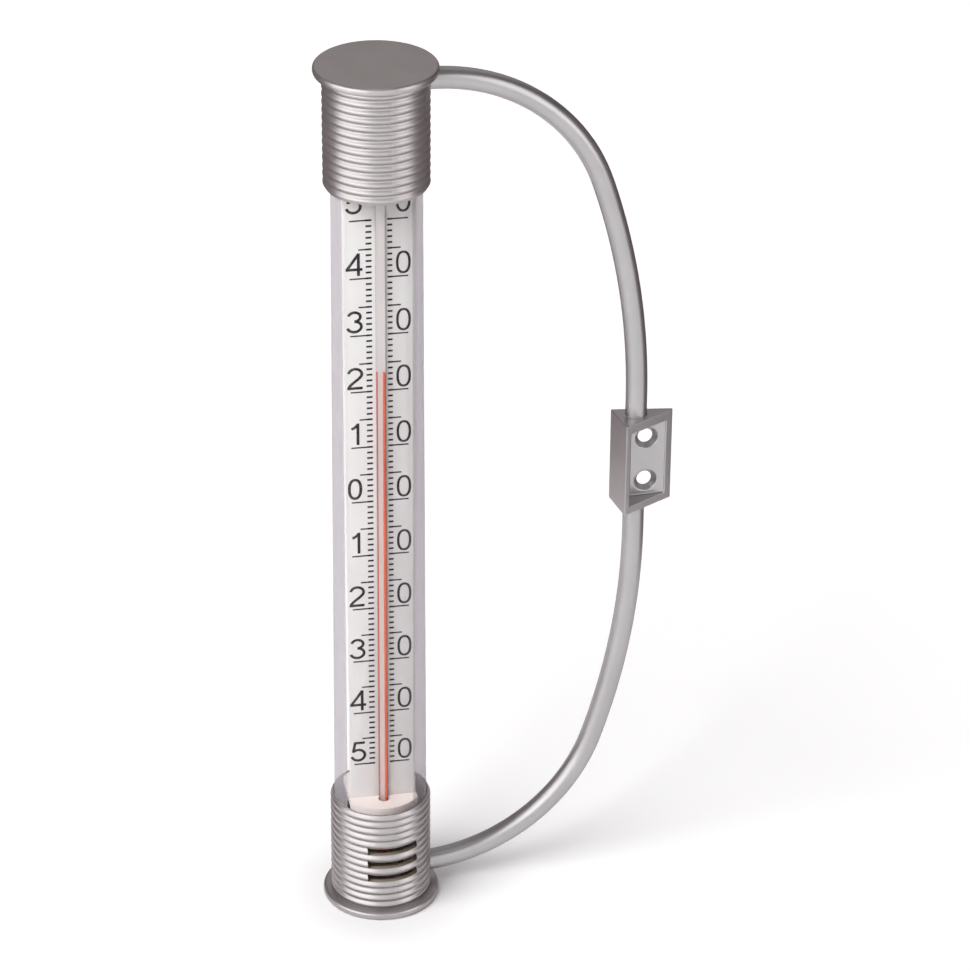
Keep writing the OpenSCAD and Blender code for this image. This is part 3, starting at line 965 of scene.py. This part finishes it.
# Each figure in units of its height, from its lower left corner
FIGURES = {
    "0": [oval((0.30, 0.5), (0.238, 0.4355))],
    "1": [[(0.44, 0.0), (0.44, 1.0)], curve((0.42, 0.93), (0.36, 0.84), (0.28, 0.79), (0.17, 0.745))],
    "2": [
        arc((0.345, 0.70), (0.275, 0.24), 170, 0, 18)
        + curve((0.62, 0.70), (0.62, 0.47), (0.12, 0.30), (0.075, 0.06))[1:],
        [(0.02, 0.06), (0.655, 0.06)],
    ],
    "3": [
        arc((0.335, 0.735), (0.245, 0.205), 168, -90, 22),
        arc((0.335, 0.295), (0.285, 0.235), 90, -168, 26),
    ],
    "4": [[(0.52, 0.0), (0.52, 1.0)], [(0.53, 0.985), (0.055, 0.30)], [(0.0, 0.285), (0.685, 0.285)]],
    "5": [
        [(0.17, 0.94), (0.62, 0.94)],
        [(0.205, 0.99), (0.11, 0.475)],
        arc((0.33, 0.325), (0.285, 0.265), 142, -166, 28),
    ],
}


def pen_stroke(line, width):
    """The two edges of a stroke of even width along a centre line."""
    closed = math.dist(line[0], line[-1]) < 1e-6
    left, right = [], []
    for i, (s, z) in enumerate(line):
        before = line[i - 1] if i > 0 else (line[-2] if closed else line[0])
        after = line[i + 1] if i < len(line) - 1 else (line[1] if closed else line[-1])
        ds, dz = after[0] - before[0], after[1] - before[1]
        size = math.hypot(ds, dz)
        ns, nz = -dz / size * width / 2, ds / size * width / 2
        left.append((s + ns, z + nz))
        right.append((s - ns, z - nz))
    return left, right


def ink_figure(figure, s0, z0, height, pen):
    """One figure, from its lower left corner."""
    for line in FIGURES[figure]:
        placed = [(s0 + x * height, z0 + y * height) for x, y in line]
        ink_strip(*pen_stroke(placed, pen))


LEFT_FIGURE_S, RIGHT_FIGURE_S = -8.33, 3.86
LEFT_RISE, RIGHT_RISE, TOP_RISE = 0.8, 0.55, 1.0  # over their mark, and more for the top pair
for tens in range(-5, 6):
    z = ZERO_Z + 10 * tens * DEGREE_Z + (TOP_RISE if tens == 5 else 0)
    ink_figure(str(abs(tens)), LEFT_FIGURE_S, z + LEFT_RISE, LEFT_H, LEFT_PEN)
    ink_figure("0", RIGHT_FIGURE_S, z + RIGHT_RISE, RIGHT_H, RIGHT_PEN)

print_film = make_piece("print_film", ink_points, ink_faces, SCALE_INK, FILM_ANGLE)
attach(print_film, "tube")
print("Marks and numerals:", len(ink_faces), "faces of ink")

# %% [markdown]
# ## The glass thermometer
# The stem is a round glass rod with a fine bore, and a bulb below the disc. The round front works
# as a lens: it shows the thread of spirit at both edges of the bore, a broad line on one side and
# a fine one on the other. The lens isn't traced here. Both lines are made as threads in the glass.
# They are straight prisms with rings only at their ends.
# A white strip behind the bore gives them their pale ground.

# %% Turn the stem and lay the spirit in it
STEM_R, STEM_FRONT = 1.4, 5.75
STEM_TOP, BULB_TOP = 209.4, 29.4
COLUMN_Z0, COLUMN_Z1 = 29.4, 156.33
BULB_R, BULB_Z0 = 2.7, 14.9
SHOULDER = ((BULB_R, BULB_TOP - 1.6), (2.3, BULB_TOP - 0.8))
THREAD_SIDES = 16
THREADS = (  # name, place across, radius, how far its top stands below the column's, finish
    ("spirit_broad", 0.72, 0.40, 0.6, SPIRIT_RED),
    ("spirit_fine", -1.12, 0.19, 0.15, SPIRIT_THIN),
)
ENAMEL_S, ENAMEL_BACK, ENAMEL_T = (-1.05, 1.05), 0.55, 0.1
ENAMEL_Z = (BULB_TOP + 1, STEM_TOP - 2)


def stem_profile():
    """The bulb's round foot, its shoulder, and the stem up to its round top."""
    foot = arc((0, BULB_Z0 + BULB_R), (BULB_R, BULB_R), -90, 0, 10)
    top = arc((0, STEM_TOP - STEM_R), (STEM_R, STEM_R), 0, 90, 6)
    foot[0], top[-1] = (0, BULB_Z0), (0, STEM_TOP)
    return [*foot, *SHOULDER, (STEM_R, BULB_TOP), *top]


stem_points, stem_faces = turn(stem_profile(), even_angles(48), centre=(0, -STEM_FRONT))
stem = make_piece("stem", [in_tube(*p) for p in stem_points], stem_faces, STEM_GLASS, ROD_ANGLE)
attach(stem, "tube")
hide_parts("glass_stem")


def build_thread(name, s, radius, drop, material):
    """A straight prism from the bulb up to the level."""
    ring = arc((s, -STEM_FRONT), (radius, radius), 0, 360, THREAD_SIDES)[:-1]
    points = [in_tube(x, y, z) for z in (COLUMN_Z0, COLUMN_Z1 - drop) for x, y in ring]
    thread = make_piece(name, points, skin(THREAD_SIDES, 2), material, ROD_ANGLE)
    thread.visible_shadow = False  # so that the strip behind it stays pale
    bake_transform(thread)
    return thread


threads = [build_thread(*t) for t in THREADS]
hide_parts("liquid_column")
print("Threads reach up to", COLUMN_Z1, "mm")


def build_enamel():
    """The white strip inside the glass, behind the bore."""
    near, far = -STEM_FRONT + ENAMEL_BACK, -STEM_FRONT + ENAMEL_BACK + ENAMEL_T
    points, faces = box_points((ENAMEL_S[0], near, ENAMEL_Z[0]), (ENAMEL_S[1], far, ENAMEL_Z[1]))
    strip = make_piece("stem_enamel", [in_tube(*p) for p in points], faces, ENAMEL, FILM_ANGLE)
    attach(strip, "tube")


build_enamel()

# %% [markdown]
# ## The nodes that keep their own shape
# The two discs and the spirit in the bulb are right as they are. New meshes would only repeat
# them, so the frame's own shapes are kept and take a finish.

# %% Finish the remaining nodes
NODE_FINISHES = {"lower_holder": HOLDER_WHITE, "upper_holder": HOLDER_WHITE, "bulb_liquid": SPIRIT_SHADED}
for node, material in NODE_FINISHES.items():
    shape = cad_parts[node]
    shape.data.materials.clear()
    shape.data.materials.append(material)
print("Kept as they are:", *NODE_FINISHES)

# %% [markdown]
# ## Floor
# The photograph's ground is white, with a soft shadow. Stronger lamps would make it white too,
# but the object brighter with it. So the floor is a lit surface that keeps the shadow, with a
# glow added that grows with the distance from the foot. The weak glow near the foot is painted
# shade all round the foot.

# %% Floor
FLOOR_HALF = 30000
GLOW_REACH = 400.0
# the low levels near the foot are painted shade round it
GLOW_AND_FOOT_SHADE_STOPS = (  # millimetres from the foot, and level
    (17, 0.10),
    (26, 0.22),
    (40, 0.29),
    (120, 0.32),
    (400, 0.45),
)


def floor_material():
    """Matt pale grey, with a glow that only the camera and reflections see, weak near the foot as painted
    shade.
    """
    finish = Finish("floor_white")
    finish.use(
        Base_Color=finish.blend(finish.noise(60, 2), (0.86, 0.86, 0.865), (0.88, 0.88, 0.885)),
        Roughness=0.7,
        Specular_IOR_Level=0.1,
    )
    rays = finish.node("ShaderNodeLightPath").outputs
    seen = rays["Is Camera Ray"]
    for kind in ("Is Glossy Ray", "Is Transmission Ray"):
        seen = finish.maths("MAXIMUM", seen, rays[kind])
    far = finish.node("ShaderNodeVectorMath", {"operation": "LENGTH"}, Vector=finish.place).outputs["Value"]
    added = finish.node("ShaderNodeValToRGB", Fac=finish.maths("DIVIDE", far, GLOW_REACH * MM))
    set_stops(added.color_ramp, [(at / GLOW_REACH, (level, level, level)) for at, level in GLOW_AND_FOOT_SHADE_STOPS])
    share = finish.maths("MULTIPLY", seen, added.outputs["Color"])
    glow = finish.node("ShaderNodeEmission", Color=(1, 1, 1, 1), Strength=share)
    both = finish.node("ShaderNodeAddShader")
    finish.plug(both.inputs[0], finish.shader.outputs[0])
    finish.plug(both.inputs[1], glow.outputs[0])
    return finish.surface(both)


def build_floor():
    """One wide square under the object."""
    far = FLOOR_HALF
    corners = [(-far, -far, 0), (far, -far, 0), (far, far, 0), (-far, far, 0)]
    floor = make_piece("floor", corners, [[0, 1, 2, 3]], floor_material())
    print("Floor:", 2 * far * MM, "metres wide")


build_floor()

# %% [markdown]
# ## Room
# Metal looks like whatever it mirrors. An even white room would make the silver flat, and a
# picture of a room can't be used, so the world is a ramp between a few greys: middling in front
# of the object, dim at its sides, and pale high up behind it.

# %% Room
CAMERA_SIDE = Vector((-math.sin(HEADING), -math.cos(HEADING), 0))  # from the object to the camera
ROOM_LEAN = math.radians(40)  # how far above the level the ramp's bright end points
ROOM_STOPS = (
    (0.35, (0.30, 0.30, 0.30)),
    (0.5, (0.11, 0.09, 0.095)),
    (0.86, (0.11, 0.09, 0.095)),
    (0.94, (0.50, 0.485, 0.48)),
)


def build_room():
    """A world whose grey follows how far a direction points away from the camera and up."""
    room = bpy.data.worlds.new("room")
    room.use_nodes = True
    tree = room.node_tree
    tree.nodes.clear()
    way = tree.nodes.new("ShaderNodeTexCoord").outputs["Generated"]
    towards = tree.nodes.new("ShaderNodeVectorMath")
    towards.operation = "DOT_PRODUCT"
    towards.inputs[1].default_value = (*(-CAMERA_SIDE * math.cos(ROOM_LEAN)).xy, math.sin(ROOM_LEAN))
    tree.links.new(way, towards.inputs[0])
    ramp = tree.nodes.new("ShaderNodeValToRGB")
    spread = tree.nodes.new("ShaderNodeMapRange")
    spread.inputs["From Min"].default_value = -1
    tree.links.new(towards.outputs["Value"], spread.inputs["Value"])
    tree.links.new(spread.outputs[0], ramp.inputs["Fac"])
    set_stops(ramp.color_ramp, ROOM_STOPS)
    air = tree.nodes.new("ShaderNodeBackground")
    tree.links.new(ramp.outputs["Color"], air.inputs["Color"])
    out = tree.nodes.new("ShaderNodeOutputWorld")
    tree.links.new(air.outputs[0], out.inputs["Surface"])
    bpy.context.scene.world = room
    print("Room:", len(ROOM_STOPS), "greys")


build_room()

# %% [markdown]
# ## Lamps
# Softboxes give silver its broad bright bands, and a key lamp gives the matt plate and the floor
# their light and the shadow. One lamp for both would make the bands too strong where the plate is
# right. So three softboxes light only what shines, the key lamp only what is matt, and a weak
# one overhead both. The key lamp stands far off, which keeps its light even down the plate.

# %% Lamps
CAMERA_RIGHT = Vector((math.cos(HEADING), -math.sin(HEADING), 0))
LAMP_TARGET = Vector((0.02, 0, 0.12))


def round_about(azimuth):
    """A level direction, counted in degrees from the camera's side to the right."""
    a = math.radians(azimuth)
    return CAMERA_SIDE * math.cos(a) + CAMERA_RIGHT * math.sin(a)


def softbox(name, azimuth, elevation, distance, width, height, watts, diffuse=True, glossy=True):
    """An area light aimed at the object, which may light only matt or only shiny surfaces.

    Angles are in degrees, and the distance and the size in metres.
    """
    light = bpy.data.lights.new(name, "AREA")
    light.shape = "RECTANGLE"
    light.size, light.size_y, light.energy = width, height, watts
    box = bpy.data.objects.new(name, light)
    box.visible_diffuse, box.visible_glossy = diffuse, glossy
    e = math.radians(elevation)
    way = round_about(azimuth) * math.cos(e) + Vector((0, 0, math.sin(e)))
    box.location = LAMP_TARGET + way * distance
    box.rotation_mode = "QUATERNION"
    box.rotation_quaternion = (-way).to_track_quat("-Z", "Y")
    bpy.context.scene.collection.objects.link(box)
    print(name, watts, "W")


softbox("softbox_left", -46, 22, 1.0, 1.45, 0.9, 9.6, diffuse=False)
softbox("softbox_right", 61, 22, 1.0, 0.6, 0.9, 3.5, diffuse=False)
softbox("softbox_middle", 16, 22, 1.0, 0.5, 0.9, 1.5, diffuse=False)
softbox("softbox_top", 0, 80, 1.3, 0.6, 0.6, 1.0)
softbox("key", -48, 44, 2.2, 1.54, 1.54, 53.0, glossy=False)

# %% [markdown]
# ## Dark flags
# A photographer stands dark cards beside shiny things, so that their edges don't melt into a
# white ground. The room's ramp could be darker there, but two curved screens, one at each side,
# can be placed exactly. Only shiny surfaces see them.

# %% Dark flags
FLAG_R, FLAG_Z0, FLAG_H = 200, 1, 260  # millimetres
FLAG_FROM, FLAG_TO, FLAG_STEPS = 84, 158, 18  # degrees from the camera's side, and steps between them
FLAG_MIDDLE = Vector((20, 0, 0))


def flag_material():
    """A dim brown glow on a nearly black ground."""
    finish = Finish("flag_brown")
    return finish.use(
        Base_Color=(0.02, 0.015, 0.016, 1),
        Emission_Color=finish.blend(finish.noise(80, 2), (0.13, 0.098, 0.10), (0.17, 0.13, 0.135)),
        Emission_Strength=1,
        Roughness=1.0,
    )


def build_flag(name, side, material):
    """A dark screen beside the object that only shiny surfaces see."""
    points = []
    for i in range(FLAG_STEPS + 1):
        azimuth = side * (FLAG_FROM + (FLAG_TO - FLAG_FROM) * i / FLAG_STEPS)
        foot = FLAG_MIDDLE + round_about(azimuth) * FLAG_R
        points += [(foot.x, foot.y, FLAG_Z0), (foot.x, foot.y, FLAG_H)]
    faces = [[2 * i, 2 * i + 2, 2 * i + 3, 2 * i + 1] for i in range(FLAG_STEPS)]
    flag = make_piece(name, points, faces, material)
    flag.visible_camera = flag.visible_diffuse = flag.visible_shadow = flag.visible_transmission = False
    print(name, "stands", FLAG_R, "mm away")


flag_brown = flag_material()
build_flag("flag_left", -1, flag_brown)
build_flag("flag_right", 1, flag_brown)

# %% [markdown]
# ## Finish
# The view transform stays plain, so a colour renders about as it is written.

# %% Keep the view transform plain
bpy.context.scene.view_settings.view_transform = "Standard"
